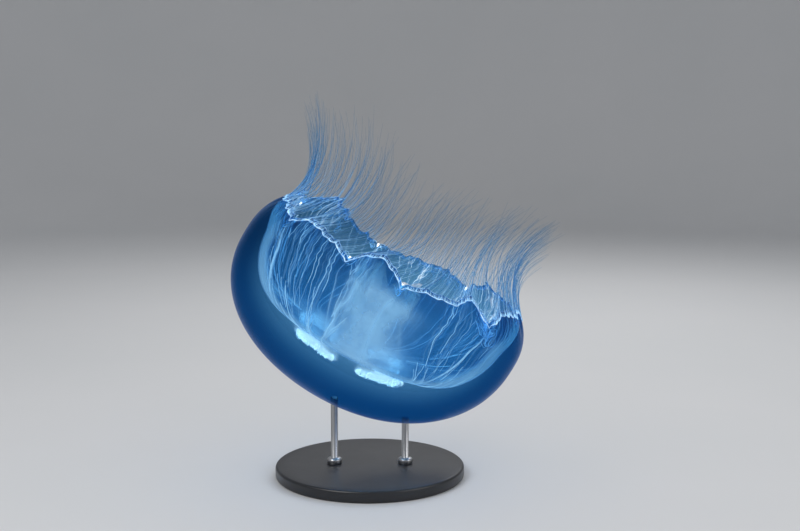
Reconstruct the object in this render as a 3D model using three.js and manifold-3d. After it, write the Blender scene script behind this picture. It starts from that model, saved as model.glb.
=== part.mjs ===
// A moon jellyfish (Aurelia aurita), life size, as a still display model on a small stand.
// Millimetres, +Z up. The origin is the centre of the stand's underside.
//
// The animal swims crown down with its mouth side up and to the right. It is modelled upright in a
// frame of its own, with the crown at the origin and the bell opening along +Z, and is then leaned
// over on its stand. In that frame a place on the bell is a radius from the axis, a depth from the
// crown along the axis and an angle round it, which is 0 at the front (-Y) and a quarter turn at +X.
import * as THREE from "three";
import { mergeVertices } from "three/addons/utils/BufferGeometryUtils.js";
import Module from "manifold-3d";

const wasm = await Module();
wasm.setup();

const degrees = THREE.MathUtils.degToRad;
const { lerp, smoothstep, euclideanModulo } = THREE.MathUtils;
const TURN = 2 * Math.PI;

// ---------------------------------------------------------------- driving dimensions

const GAP = 0.4; // left between pieces that touch

// The bell's surfaces: each starts on the axis at the depth top, is widest at the depth widest,
// and closes in again to endRadius at endDepth. power is 2 for an ellipse, more for a flatter crown.
const OUTER = { top: 0, widest: 92, radius: 125, power: 2.15, endDepth: 144, endRadius: 97.5, curl: 2.8 };
const GASTRIC = { top: 28, widest: 106, radius: 111, power: 2.15, endDepth: 144, endRadius: 96, curl: 2 };
const LINING_THICKNESS = 3.2;
const LEAN_AT_CROWN = -0.045; // the bell is this share wider on the right at the crown,
const LEAN_AT_RIM = 0.022; // and this share at the rim
const DOME_RIM = 122; // depth at which the dome ends and the lappets start
const SEGMENTS = 33; // round the bell
const OUTER_STEPS = 10; // from the crown to the widest place
const GASTRIC_STEPS = 7;
const RIM_STEPS = 2; // from the widest place to the dome's rim

// The stomach, a low chamber between the dome and the lining, and the four gonads in it.
const STOMACH_HEIGHT = 10.4;
const STOMACH_RADIUS = 67;
const STOMACH_EDGE = 80; // the lining is back against the dome here
// A gonad is a horseshoe of this ring radius, its middle this far from the axis, made of a cord that
// is thinner at its ends and weaves in and out by a share of the ring. Its opening faces the axis.
const GONAD = { place: 41, ring: 16.5, cord: 4.1, endShare: 0.45, weave: 0.12, weaves: 5 };
const GONAD_MESH = { sides: 6, steps: 11 };
const GONAD_OPENING = degrees(70);

// The mouth tube and the four oral arms.
const MOUTH = { length: 15, rootRadius: 17, lipRadius: 11, lobe: 0.16, sides: 16, steps: 3 };
const MOUTH_LIPS = GASTRIC.top + STOMACH_HEIGHT + LINING_THICKNESS + MOUTH.length; // their depth
const ARM = { rootWidth: 9, width: 15, tipWidth: 5, thickness: 2.2, ruffle: 2.4, ruffles: 3 };
const ARM_MESH = { steps: 11, columns: 4 };
const ARM_PATH = [[8, 0], [13, 15], [20, 32], [26, 48], [27, 62]]; // radius, depth past the lips
const ARM_TWIST = degrees(24); // how far an arm drifts round the axis by its tip

// The margin: eight sense organs in notches, and the lappets between them. A lappet's edge stands
// past the line between its notches by three heights, at a quarter, a half and three quarters of it.
const NOTCHES = [-55, -21, 2, 43, 97, 142, 188, 240].map(degrees);
const NOTCH_DEPTHS = [129.5, 127.5, 129.5, 130.5, 133, 125.5, 124.5, 132.5];
const LAPPET_HEIGHTS = [
  [6.5, 6, 3.8], [8.5, 11.5, 7.5], [3.2, 3.5, 10.5], [9, 8, 9],
  [4.5, 8, 11], [4.5, 3, 1], [1, 9, 16], [9, 4.5, 4.5],
];
const NOTCH_HALF_WIDTH = degrees(1.3);
const LAPPET_EDGE = 1.5; // thickness of the edge
const LAPPET_ROWS = 2;
const SENSE_ORGAN = { radius: 1.9, halfLength: 4.2 };

// The fringe: in each group, tentacles that grow from one strip along a lappet's edge.
const TENTACLES_PER_LAPPET = 9;
const TENTACLE = { length: 86, uneven: 0.08, rootRadius: 0.65, tipRadius: 0.42, sides: 3, steps: 5 };
const STRIP = { height: 1.8, thickness: 1.5, steps: 8, rooted: 0.75 }; // rooted is a share of its height
// A tentacle's slope away from the bell's axis at its root and its tip, how much it slopes to the
// right as well, and how much further out it slopes at the back left, where the fringe is thrown out.
const ROOT_SLOPE = { outward: -1, right: 0.12, thrown: 1.2 };
const TIP_SLOPE = { outward: 0.44, right: 0.1, thrown: 0.55 };
const THROWN = { angle: degrees(244), spread: degrees(36) };

// The pose and the stand.
const TILT = degrees(28);
const CROWN_X = -36; // the crown's place, which sets the weight over the base
const CLEARANCE = 40; // from the base's top to the bell's lowest point
const BASE = { radius: 80, height: 10, chamfer: 1.5, segments: 36 };
const ROD = { radius: 3, sides: 12 };
const ROD_PLACES = [-30, 30]; // X of the rods

// ---------------------------------------------------------------- materials

function material(red, green, blue, roughness, opacity = 1, metalness = 0) {
  const color = new THREE.Color().setRGB(red, green, blue, THREE.SRGBColorSpace);
  return new THREE.MeshStandardMaterial({
    color, roughness, metalness, opacity, transparent: opacity < 1,
  });
}

const JELLY = material(0.12, 0.34, 0.56, 0.15, 0.5);
const CANAL_LAYER = material(0.36, 0.6, 0.82, 0.3, 0.6);
const WHITE_FOLDS = material(0.74, 0.94, 0.98, 0.5);
const FRILL = material(0.5, 0.74, 0.92, 0.4, 0.8);
const FILAMENT = material(0.2, 0.42, 0.6, 0.4);
const SENSE = material(0.93, 0.96, 0.97, 0.3);
const BLACK_LACQUER = material(0.05, 0.05, 0.06, 0.35);
const STEEL = material(0.6, 0.61, 0.62, 0.3, 1, 1);

// ---------------------------------------------------------------- making solids

// Merges a geometry's shared vertices, moves each vertex by the function place and makes sure that
// the faces point out.
function shaped(geometry, place) {
  geometry.deleteAttribute("normal");
  geometry.deleteAttribute("uv");
  const made = mergeVertices(geometry, 1e-5);
  const at = made.getAttribute("position");
  const point = new THREE.Vector3();
  for (let i = 0; i < at.count; i++) {
    point.fromBufferAttribute(at, i);
    const moved = place(point.x, point.y, point.z);
    at.setXYZ(i, moved.x, moved.y, moved.z);
  }
  const corners = [];
  for (let i = 0; i < made.index.count; i += 3) {
    const [a, b, c] = [0, 1, 2].map((k) => made.index.getX(i + k));
    if (a !== b && b !== c && c !== a) corners.push([a, b, c]);
  }
  const vertex = (i) => new THREE.Vector3().fromBufferAttribute(at, i);
  const volume = (sum, [a, b, c]) => sum + vertex(a).dot(vertex(b).cross(vertex(c)));
  const facesOut = corners.reduce(volume, 0) > 0;
  made.setIndex(corners.flatMap(([a, b, c]) => (facesOut ? [a, b, c] : [a, c, b])));
  return made;
}

// A three.js geometry as a solid that can be joined and cut, and back again.
function solid(geometry) {
  return new wasm.Manifold(new wasm.Mesh({
    numProp: 3,
    vertProperties: new Float32Array(geometry.getAttribute("position").array),
    triVerts: new Uint32Array(geometry.index.array),
  }));
}

function geometryOf(made) {
  const mesh = made.getMesh();
  const geometry = new THREE.BufferGeometry();
  geometry.setAttribute("position", new THREE.BufferAttribute(mesh.vertProperties, 3));
  geometry.setIndex(new THREE.BufferAttribute(mesh.triVerts, 1));
  return geometry;
}

// A body swept along a path. place(share, across, through) gives the point at that share of the
// path, with across and through from -1 to 1 over the body's round or square section.
function sweptRound(sides, steps, place) {
  return shaped(new THREE.CylinderGeometry(1, 1, 1, sides, steps), (x, y, z) => place(y + 0.5, x, z));
}

function sweptFlat(steps, columns, place) {
  return shaped(new THREE.BoxGeometry(2, 1, 2, columns, steps, 1), (x, y, z) => place(y + 0.5, x, z));
}

// ---------------------------------------------------------------- the bell's form

// The radius of one of the bell's surfaces at a depth past its widest place.
function radiusAt(surface, depth) {
  const { widest, radius, endDepth, endRadius, curl } = surface;
  return radius - (radius - endRadius) * ((depth - widest) / (endDepth - widest)) ** curl;
}

// The depth of a surface at a radius, on the crown's side of its widest place.
function depthAt(surface, radius) {
  const { top, widest, power } = surface;
  const share = Math.min(radius / surface.radius, 1);
  return top + (widest - top) * (1 - (1 - share ** power) ** (1 / power));
}

// The point on the bell at a radius, depth and angle. The bell leans a little to one side.
function onBell(radius, depth, angle) {
  const lean = 1 + Math.sin(angle) * lerp(LEAN_AT_CROWN, LEAN_AT_RIM, depth / DOME_RIM);
  const out = radius * lean;
  return new THREE.Vector3(out * Math.sin(angle), -out * Math.cos(angle), depth);
}

// Points [radius, depth] along a surface from the axis to the dome's rim.
function curveOf(surface, crownSteps) {
  const points = [];
  for (let i = 0; i <= crownSteps; i++) {
    const turn = (i / crownSteps) * (Math.PI / 2);
    const radius = surface.radius * Math.sin(turn) ** (2 / surface.power);
    points.push([radius, i ? depthAt(surface, radius) : surface.top]);
  }
  for (let i = 1; i <= RIM_STEPS; i++) {
    const depth = lerp(surface.widest, DOME_RIM, i / RIM_STEPS);
    points.push([radiusAt(surface, depth), depth]);
  }
  return points;
}

// A closed shell between two curves of points [radius, depth] that both start on the axis.
function shell(outside, inside, segments) {
  const outline = [...outside, ...inside.slice().reverse()];
  const profile = outline.map(([radius, depth]) => new THREE.Vector2(radius, depth));
  return shaped(new THREE.LatheGeometry(profile, segments), (x, depth, z) =>
    onBell(Math.hypot(x, z), depth, Math.atan2(x, z)));
}

// A surface moved inwards by a distance.
function inwardsBy(surface, distance) {
  return {
    ...surface,
    top: surface.top + distance,
    radius: surface.radius - distance,
    endRadius: surface.endRadius - distance,
  };
}

// ---------------------------------------------------------------- dome and lining

function dome() {
  return shell(curveOf(OUTER, OUTER_STEPS), curveOf(GASTRIC, GASTRIC_STEPS), SEGMENTS);
}

// How far the lining stands off the dome, which makes room for the stomach.
function stomachHeight(radius) {
  return STOMACH_HEIGHT * (1 - smoothstep(radius, STOMACH_RADIUS, STOMACH_EDGE));
}

function lining() {
  const curve = (distance) => curveOf(inwardsBy(GASTRIC, distance), GASTRIC_STEPS)
    .map(([radius, depth]) => [radius, depth + stomachHeight(radius)]);
  return shell(curve(GAP), curve(GAP + LINING_THICKNESS), SEGMENTS);
}

// The depth of the lining's inner face near the crown.
function ceilingAt(radius) {
  return depthAt(inwardsBy(GASTRIC, GAP + LINING_THICKNESS), radius) + stomachHeight(radius);
}

// ---------------------------------------------------------------- gonads, mouth and arms

// A horseshoe of a thick, weaving cord that lies in the stomach.
function gonad(angle) {
  const arc = (TURN - GONAD_OPENING) / 2;
  return sweptRound(GONAD_MESH.sides, GONAD_MESH.steps, (share, across, through) => {
    const turn = lerp(-arc, arc, share);
    const weave = 1 + GONAD.weave * Math.sin(GONAD.weaves * TURN * share);
    const swell = Math.sqrt(1 - Math.abs(2 * share - 1) ** 6);
    const cord = GONAD.cord * lerp(GONAD.endShare, 1, swell);
    const ring = GONAD.ring * weave + cord * across;
    const out = GONAD.place + ring * Math.cos(turn);
    const side = ring * Math.sin(turn);
    const radius = Math.hypot(out, side);
    const middle = depthAt(GASTRIC, radius) + (STOMACH_HEIGHT + GAP) / 2;
    return onBell(radius, middle + cord * through, angle + Math.atan2(side, out));
  });
}

// The mouth tube: four-cornered, and narrower at its lips.
function mouth() {
  return sweptRound(MOUTH.sides, MOUTH.steps, (share, across, through) => {
    const angle = Math.atan2(across, -through);
    const corner = 1 + MOUTH.lobe * Math.cos(4 * angle);
    const tube = lerp(MOUTH.rootRadius, MOUTH.lipRadius, share ** 0.6);
    const radius = Math.hypot(across, through) * corner * tube;
    const root = ceilingAt(radius) + 2 * GAP;
    return onBell(radius, lerp(root, MOUTH_LIPS, share), angle);
  });
}

// An oral arm: a ribbon from the mouth towards the margin, ruffled along both edges.
function oralArm(angle) {
  const start = MOUTH_LIPS + 3 * GAP;
  const bends = ARM_PATH.map(([radius, depth]) => new THREE.Vector2(radius, start + depth));
  const path = new THREE.SplineCurve(bends);
  return sweptFlat(ARM_MESH.steps, ARM_MESH.columns, (share, across, through) => {
    const { x: radius, y: depth } = path.getPoint(share);
    const along = path.getTangent(share);
    const full = lerp(ARM.rootWidth, ARM.width, smoothstep(share, 0, 0.3));
    const half = lerp(full, ARM.tipWidth, share ** 2) / 2;
    const swell = smoothstep(share, 0, 0.15) * Math.abs(across) ** 2;
    const ruffle = ARM.ruffle * swell * Math.sin(ARM.ruffles * TURN * share + across);
    const off = ruffle + (ARM.thickness / 2) * through * lerp(1, 0.6, share);
    const turn = angle + ARM_TWIST * share ** 1.5;
    const centre = onBell(radius + off * along.y, depth - off * along.x, turn);
    const sideways = new THREE.Vector3(Math.cos(turn), Math.sin(turn), 0);
    return centre.addScaledVector(sideways, half * across);
  });
}

// ---------------------------------------------------------------- the margin

function lappetSpan(index) {
  const start = NOTCHES[index] + NOTCH_HALF_WIDTH;
  const next = NOTCHES[(index + 1) % NOTCHES.length] + (index + 1 < NOTCHES.length ? 0 : TURN);
  return [start, next - NOTCH_HALF_WIDTH];
}

// The depth of a lappet's edge at a share of its width.
function edgeDepth(index, share) {
  const notchLine = lerp(NOTCH_DEPTHS[index], NOTCH_DEPTHS[(index + 1) % NOTCHES.length], share);
  const heights = [0, ...LAPPET_HEIGHTS[index], 0];
  const parts = heights.length - 1;
  const part = Math.min(Math.floor(share * parts), parts - 1);
  return notchLine + lerp(heights[part], heights[part + 1], share * parts - part);
}

// The flap between two sense organs: a wedge that thins from the dome's rim to its edge.
function lappet(index) {
  const [start, end] = lappetSpan(index);
  const root = DOME_RIM + GAP;
  const rootThickness = radiusAt(OUTER, root) - radiusAt(GASTRIC, root);
  return sweptFlat(LAPPET_ROWS, STRIP.steps, (share, across, through) => {
    const width = (across + 1) / 2;
    const depth = lerp(root, edgeDepth(index, width), share);
    const thickness = lerp(rootThickness, LAPPET_EDGE, share);
    const radius = radiusAt(OUTER, depth) - (thickness * (1 - through)) / 2;
    return onBell(radius, depth, lerp(start, end, width));
  });
}

// A small club that hangs from the dome's rim in the notch between two lappets.
function senseOrgan(angle) {
  const { radius, halfLength } = SENSE_ORGAN;
  const depth = DOME_RIM + GAP + halfLength;
  const centre = onBell(radiusAt(OUTER, depth) - 2 * radius, depth, angle);
  return shaped(new THREE.OctahedronGeometry(1, 1), (x, y, z) =>
    new THREE.Vector3(radius * x, radius * y, halfLength * z).add(centre));
}

// ---------------------------------------------------------------- the fringe

// The points of one tentacle, which leaves the margin inwards and flares outwards to its tip.
function tentaclePath(root, angle, length) {
  const at = root.clone();
  const points = [at.clone()];
  const fromThrown = euclideanModulo(angle, TURN) - THROWN.angle;
  const thrown = Math.exp(-((fromThrown / THROWN.spread) ** 2));
  for (let i = 0; i < TENTACLE.steps; i++) {
    const share = smoothstep((i + 0.5) / TENTACLE.steps, -0.1, 1);
    const slope = (name) => lerp(ROOT_SLOPE[name], TIP_SLOPE[name], share);
    const outward = slope("outward") + slope("thrown") * thrown;
    const right = slope("right");
    const heading = new THREE.Vector3(outward * Math.sin(angle) + right, -outward * Math.cos(angle), 1);
    at.addScaledVector(heading.normalize(), length / TENTACLE.steps);
    points.push(at.clone());
  }
  return points;
}

function tentacle(index, share, length) {
  const [start, end] = lappetSpan(index);
  const angle = lerp(start, end, share);
  const depth = edgeDepth(index, share) + GAP + STRIP.height * STRIP.rooted;
  const root = onBell(radiusAt(OUTER, depth) - STRIP.thickness / 2, depth, angle);
  const points = tentaclePath(root, angle, length);
  const outwards = new THREE.Vector3(Math.sin(angle), -Math.cos(angle), 0);
  const sideways = new THREE.Vector3(Math.cos(angle), Math.sin(angle), 0);
  return sweptRound(TENTACLE.sides, TENTACLE.steps, (along, across, through) => {
    const step = Math.round(along * TENTACLE.steps);
    const half = lerp(TENTACLE.rootRadius, TENTACLE.tipRadius, along);
    const middle = points[step].clone();
    return middle.addScaledVector(sideways, half * across).addScaledVector(outwards, half * through);
  });
}

function fringe(index) {
  const [start, end] = lappetSpan(index);
  const strip = sweptFlat(1, STRIP.steps, (share, across, through) => {
    const width = (across + 1) / 2;
    const depth = edgeDepth(index, width) + GAP + STRIP.height * share;
    const radius = radiusAt(OUTER, depth) - (STRIP.thickness * (1 - through)) / 2;
    return onBell(radius, depth, lerp(start, end, width));
  });
  let joined = solid(strip);
  for (let i = 0; i < TENTACLES_PER_LAPPET; i++) {
    const share = (i + 0.5) / TENTACLES_PER_LAPPET;
    const length = TENTACLE.length * (1 + TENTACLE.uneven * Math.sin(7 * i + 3 * index));
    joined = joined.add(solid(tentacle(index, share, length)));
  }
  return geometryOf(joined);
}

// ---------------------------------------------------------------- the stand

function standBase() {
  const { radius, height, chamfer, segments } = BASE;
  const profile = [[0, 0], [radius, 0], [radius, height - chamfer], [radius - chamfer, height], [0, height]];
  const points = profile.map(([x, y]) => new THREE.Vector2(x, y));
  return shaped(new THREE.LatheGeometry(points, segments), (x, y, z) => new THREE.Vector3(x, -z, y));
}

// A rod from the base up to the bell, with its top cut to the bell's underside.
function standRod(x, bell) {
  const tall = CLEARANCE + OUTER.widest;
  const bottom = BASE.height + GAP;
  const rod = shaped(new THREE.CylinderGeometry(ROD.radius, ROD.radius, tall, ROD.sides), (a, b, c) =>
    new THREE.Vector3(x + a, -c, bottom + tall / 2 + b));
  const pieces = solid(rod).subtract(bell).decompose();
  pieces.sort((a, b) => a.boundingBox().min[2] - b.boundingBox().min[2]);
  return geometryOf(pieces[0]);
}

// ---------------------------------------------------------------- assembly

const jellyfish = new THREE.Group();

function add(name, geometry, look, group = jellyfish) {
  const mesh = new THREE.Mesh(geometry, look);
  mesh.name = name;
  group.add(mesh);
}

add("bell_dome", dome(), JELLY);
add("bell_lining", lining(), CANAL_LAYER);
for (let i = 0; i < 4; i++) {
  add(`gonad_${i + 1}`, gonad(degrees(45 + 90 * i)), WHITE_FOLDS);
  add(`oral_arm_${i + 1}`, oralArm(degrees(90 * i)), FRILL);
}
add("mouth", mouth(), FRILL);
NOTCHES.forEach((angle, i) => {
  add(`lappet_${i + 1}`, lappet(i), JELLY);
  add(`sense_organ_${i + 1}`, senseOrgan(angle), SENSE);
  add(`tentacles_${i + 1}`, fringe(i), FILAMENT);
});

// Lean the animal over and lift it clear of the base.
jellyfish.rotation.y = TILT;
jellyfish.updateMatrixWorld(true);
const lowest = new THREE.Box3().setFromObject(jellyfish, true).min.z;
jellyfish.position.set(CROWN_X, 0, BASE.height + CLEARANCE - lowest);
jellyfish.updateMatrixWorld(true);

// The bell's outside with the gap round it, filled in, to cut the rods' tops.
const around = inwardsBy(OUTER, -GAP);
const filled = shell(curveOf(around, 2 * OUTER_STEPS), [[0, DOME_RIM]], 2 * SEGMENTS);
filled.applyMatrix4(jellyfish.matrixWorld);

const model = new THREE.Group();
model.add(jellyfish);
add("stand_base", standBase(), BLACK_LACQUER, model);
ROD_PLACES.forEach((x, i) => add(`stand_rod_${i + 1}`, standRod(x, solid(filled)), STEEL, model));

export default model;
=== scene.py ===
import math

import bpy
import numpy as np
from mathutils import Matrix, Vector


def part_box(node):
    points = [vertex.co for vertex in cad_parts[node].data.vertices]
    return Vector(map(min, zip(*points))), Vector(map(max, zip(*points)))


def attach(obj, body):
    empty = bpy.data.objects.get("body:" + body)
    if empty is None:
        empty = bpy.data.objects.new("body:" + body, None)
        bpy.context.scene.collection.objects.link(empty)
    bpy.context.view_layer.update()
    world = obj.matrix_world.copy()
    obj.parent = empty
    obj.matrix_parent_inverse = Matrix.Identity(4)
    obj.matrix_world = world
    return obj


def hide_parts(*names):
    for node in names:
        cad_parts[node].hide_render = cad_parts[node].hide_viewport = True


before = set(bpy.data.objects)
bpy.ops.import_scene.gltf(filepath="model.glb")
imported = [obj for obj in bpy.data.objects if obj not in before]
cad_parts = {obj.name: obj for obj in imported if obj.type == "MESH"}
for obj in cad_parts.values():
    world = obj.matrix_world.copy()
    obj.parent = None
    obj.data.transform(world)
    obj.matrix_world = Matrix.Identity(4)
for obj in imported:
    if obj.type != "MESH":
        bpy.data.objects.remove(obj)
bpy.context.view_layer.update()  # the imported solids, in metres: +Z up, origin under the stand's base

scene = bpy.context.scene

# ---------------------------------------------------------------- camera
# A camera a little above the animal and over a metre off, tipped slightly down, so the bell
# is seen from its side, with some of its far margin showing over the near one.
camera_aim = Vector((0.0256, 0.0, 0.1797))
camera_distance = 1.1106
camera_rise = math.radians(8)
camera_data = bpy.data.cameras.new("camera")
camera_data.lens, camera_data.sensor_width = 60, 36
camera = bpy.data.objects.new("camera", camera_data)
scene.collection.objects.link(camera)
camera.location = camera_aim + camera_distance * Vector(
    (0, -math.cos(camera_rise), math.sin(camera_rise)))
camera.rotation_euler = (math.pi / 2 - camera_rise, 0, 0)
scene.camera = camera

# ---------------------------------------------------------------- studio
# A round pale floor that curves up into a wall all round, under large soft lights
# that hang close to the animal, so the floor is palest by the stand and greys off behind.
floor_radius, cove_radius, wall_top = 1.9, 0.7, 1.9
scene.view_settings.view_transform = "Standard"
scene.cycles.transparent_max_bounces = 48


def finish_material(name):
    """A material with an empty tree, and two short ways to add and join its nodes."""
    material = bpy.data.materials.new(name)
    material.use_nodes = True
    nodes, links = material.node_tree.nodes, material.node_tree.links
    nodes.clear()

    def node(kind, sets=None, **joins):
        made = nodes.new("ShaderNode" + kind)
        for key, value in (sets or {}).items():
            setattr(made, key, value)
        for key, value in joins.items():
            index = int(key[1:]) if key[0] == "_" and key[1:].isdigit() else key.replace("_", " ")
            if isinstance(value, bpy.types.NodeSocket):
                links.new(value, made.inputs[index])
            else:
                made.inputs[index].default_value = value
        return made

    def done(surface):
        links.new(surface, node("OutputMaterial").inputs["Surface"])
        return material

    return node, done


def graded(node, factor, low, high, from_value=0.0, to_value=1.0):
    """A number or colour socket that goes from low to high as factor goes up."""
    share = node("MapRange", {"interpolation_type": "SMOOTHSTEP"}, Value=factor,
                 From_Min=from_value, From_Max=to_value).outputs[0]
    if isinstance(low, (int, float)):
        return node("MapRange", Value=share, To_Min=low, To_Max=high).outputs[0]
    made = node("Mix", {"data_type": "RGBA"}, _0=share)
    made.inputs[6].default_value, made.inputs[7].default_value = (*low, 1), (*high, 1)
    return made.outputs[2]


def noise(node, scale, detail, roughness=0.5):
    """Cloudy noise that stays with the piece."""
    place = node("TexCoord").outputs["Object"]
    return node("TexNoise", Vector=place, Scale=scale, Detail=detail, Roughness=roughness).outputs[0]


def point_value(node, name):
    """The number that each point of the mesh holds under a name."""
    return node("Attribute", {"attribute_name": name}).outputs["Fac"]


def facing_away(node):
    """0 where a surface is seen square on, 1 along its outline."""
    return node("LayerWeight", Blend=0.5).outputs["Facing"]


def product(node, one, other):
    return node("Math", {"operation": "MULTIPLY", "use_clamp": True}, _0=one, _1=other).outputs[0]


def total(node, one, other):
    return node("Math", {"operation": "ADD", "use_clamp": True}, _0=one, _1=other).outputs[0]


def tissue(node, done, amount, clear_colour, flesh_colour, glow_colour, glow, roughness, **more):
    """Thin wet tissue: an amount of pale flesh, which glows faintly, and clear tinted jelly for the rest."""
    flesh = node("BsdfPrincipled", Base_Color=flesh_colour, Roughness=roughness, **{"IOR": 1.36, **more},
                 Emission_Color=glow_colour, Emission_Strength=glow).outputs[0]
    clear = node("BsdfTransparent", Color=clear_colour).outputs[0]
    return done(node("MixShader", _0=amount, _1=clear, _2=flesh).outputs[0])


def mesh_piece(name, points, faces, *materials, face_material=None):
    """A smooth mesh object from arrays of points and faces."""
    mesh = bpy.data.meshes.new(name)
    mesh.from_pydata(np.asarray(points, float).tolist(), [],
                     faces.tolist() if isinstance(faces, np.ndarray) else faces)
    mesh.update()
    mesh.shade_smooth()
    for material in materials:
        mesh.materials.append(material)
    if face_material is not None:
        mesh.polygons.foreach_set("material_index", np.asarray(face_material, np.int32))
    piece = bpy.data.objects.new(name, mesh)
    scene.collection.objects.link(piece)
    return piece


def hold(mesh, name, values):
    """Gives each point of a mesh a number, which materials and node trees read by name."""
    mesh.attributes.new(name, "FLOAT", "POINT").data.foreach_set("value", np.asarray(values, np.float32))


def turned(profile, sides):
    """Points and faces of a profile of (radius, height) turned round Z, its faces outwards."""
    angles = np.arange(sides) * 2 * math.pi / sides
    rows = [p for p in profile if p[0] > 0]
    points = [(r * math.cos(a), r * math.sin(a), h) for r, h in rows for a in angles]
    faces = [(j * sides + i, (j + 1) * sides + i, (j + 1) * sides + (i + 1) % sides,
              j * sides + (i + 1) % sides) for j in range(len(rows) - 1) for i in range(sides)]
    first, last = len(points), len(points) + 1
    points += [(0, 0, profile[0][1]), (0, 0, profile[-1][1])]
    end = (len(rows) - 1) * sides
    faces += [(first, i, (i + 1) % sides) for i in range(sides)]
    faces += [(last, end + (i + 1) % sides, end + i) for i in range(sides)]
    return points, faces


node, done = finish_material("pale_floor")
pale_floor = done(node("BsdfPrincipled", Roughness=0.85, Base_Color=graded(
    node, noise(node, 3.0, 3.0), (0.67, 0.68, 0.69), (0.71, 0.71, 0.72))).outputs[0])
cove = [(floor_radius + cove_radius * math.sin(t), cove_radius * (1 - math.cos(t)))
        for t in np.linspace(0, math.pi / 2, 14)]
floor_points, floor_faces = turned(
    [(0, wall_top), (cove[-1][0], wall_top), *cove[::-1], (0.9, 0), (0.3, 0), (0, 0)], 96)
lid_middle = floor_points.index((0, 0, wall_top))
floor_faces = [face[::-1] for face in floor_faces if face[0] != lid_middle]
floor = mesh_piece("floor", floor_points, floor_faces, pale_floor)

world = bpy.data.worlds.new("studio_air")
world.use_nodes = True
air = world.node_tree.nodes["Background"].inputs
air["Color"].default_value, air["Strength"].default_value = (0.93, 0.96, 1.0, 1), 0.34
scene.world = world


def soft_light(name, place, aim, size, watts):
    """A square soft light at a place, turned to face a point, and hidden from the camera."""
    data = bpy.data.lights.new(name, "AREA")
    data.size, data.energy = size, watts
    lamp = bpy.data.objects.new(name, data)
    lamp.location = place
    lamp.rotation_euler = (Vector(aim) - Vector(place)).to_track_quat("-Z", "Y").to_euler()
    lamp.visible_camera = False
    scene.collection.objects.link(lamp)


soft_light("key_light", (-0.75, -0.75, 1.15), (0, 0, 0.12), 0.8, 9.0)
soft_light("fill_light", (1.05, -0.55, 0.75), (0, 0, 0.15), 0.9, 4.5)
soft_light("back_light", (0.25, 0.95, 1.05), (0, 0, 0.18), 0.9, 6.0)

# ---------------------------------------------------------------- stand
# A turned steel disc with an eased edge, lacquered satin black, and two brushed steel rods
# screwed into it. Each rod has a small collar at its foot and ends in the underside of the bell.
node, done = finish_material("satin_black_lacquer")
haze = noise(node, 35.0, 5.0)
dents = node("Bump", Strength=0.06, Distance=0.0004, Height=noise(node, 900.0, 2.0)).outputs[0]
black_lacquer = done(node(
    "BsdfPrincipled", Base_Color=graded(node, haze, (0.012, 0.013, 0.016), (0.022, 0.023, 0.027)),
    Roughness=graded(node, haze, 0.28, 0.40), Normal=dents).outputs[0])
low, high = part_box("stand_base")
base_radius, base_height, edge_round = (high.x - low.x) / 2, high.z - low.z, 0.0022
turn = np.linspace(0, math.pi / 2, 7)
edge_in = base_radius - edge_round
base_profile = [(0, base_height)] + [(r, base_height) for r in (0.02, 0.045, 0.07)]
base_profile += [(edge_in + edge_round * math.sin(t), base_height - edge_round * (1 - math.cos(t)))
                 for t in turn]
base_profile += [(edge_in + edge_round * math.cos(t), edge_round * (1 - math.sin(t))) for t in turn]
base_profile += [(0.04, 0), (0, 0)]
base_points, base_faces = turned(base_profile, 160)
base = mesh_piece("display_base", base_points, base_faces, black_lacquer)
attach(base, "root")
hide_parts("stand_base")

node, done = finish_material("brushed_steel")
place = node("TexCoord").outputs["Object"]
stretched = node("Mapping", Vector=place, Scale=(900, 900, 25)).outputs[0]
brushing = node("TexNoise", Vector=stretched, Scale=1.0, Detail=3.0).outputs[0]
lines = node("Bump", Strength=0.12, Distance=0.0002, Height=brushing).outputs[0]
brushed_steel = done(node(
    "BsdfPrincipled", Base_Color=graded(node, brushing, (0.46, 0.47, 0.48), (0.62, 0.62, 0.63)),
    Metallic=1.0, Roughness=graded(node, brushing, 0.22, 0.38), Normal=lines).outputs[0])
collar_radius, collar_top, collar_ease, rod_ease = 0.0062, base_height + 0.005, 0.001, 0.0008
for index in (1, 2):
    low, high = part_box(f"stand_rod_{index}")
    centre, rod_radius = (low + high) / 2, (high.x - low.x) / 2
    rod_profile = [(0, high.z), (rod_radius * 0.75, high.z), (rod_radius, high.z - rod_ease),
                   (rod_radius, collar_top), (collar_radius - collar_ease, collar_top),
                   (collar_radius, collar_top - collar_ease), (collar_radius, base_height), (0, base_height)]
    rod_points, rod_faces = turned(rod_profile, 40)
    rod_points = np.array(rod_points) + (centre.x, centre.y, 0)
    rod = mesh_piece(f"steel_rod_{index}", rod_points, rod_faces, brushed_steel)
    rod.modifiers.new("eased", "BEVEL").width = 0.0003
    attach(rod, "root")
    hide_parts(f"stand_rod_{index}")

# ---------------------------------------------------------------- bell
# The bell is one thick lens of clear, firm jelly, thickest at the crown and thinning to a
# frilled edge with eight notches. The animal swims crown down and leans over to the right.
lean_over = math.radians(28)
axis = Vector((math.sin(lean_over), 0, math.cos(lean_over)))
crown = min((v.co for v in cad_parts["bell_dome"].data.vertices), key=axis.dot).copy()
gap = 0.0004
outer_face = dict(top=0.0, widest=0.092, radius=0.125, power=2.15, end=0.144, end_radius=0.0975, curl=2.8)
gastric_face = dict(top=0.028, widest=0.106, radius=0.111, power=2.15, end=0.144, end_radius=0.096, curl=2.0)
dome_rim = 0.122
width_lean = (-0.045, 0.022)
notches = np.radians([-55, -21, 2, 43, 97, 142, 188, 240])
notch_depths = np.array([129.5, 127.5, 129.5, 130.5, 133, 125.5, 124.5, 132.5]) * 1e-3
lappet_heights = np.array([[6.5, 6, 3.8], [8.5, 11.5, 7.5], [3.2, 3.5, 10.5], [9, 8, 9],
                           [4.5, 8, 11], [4.5, 3, 1], [1, 9, 16], [9, 4.5, 4.5]]) * 1e-3
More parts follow.
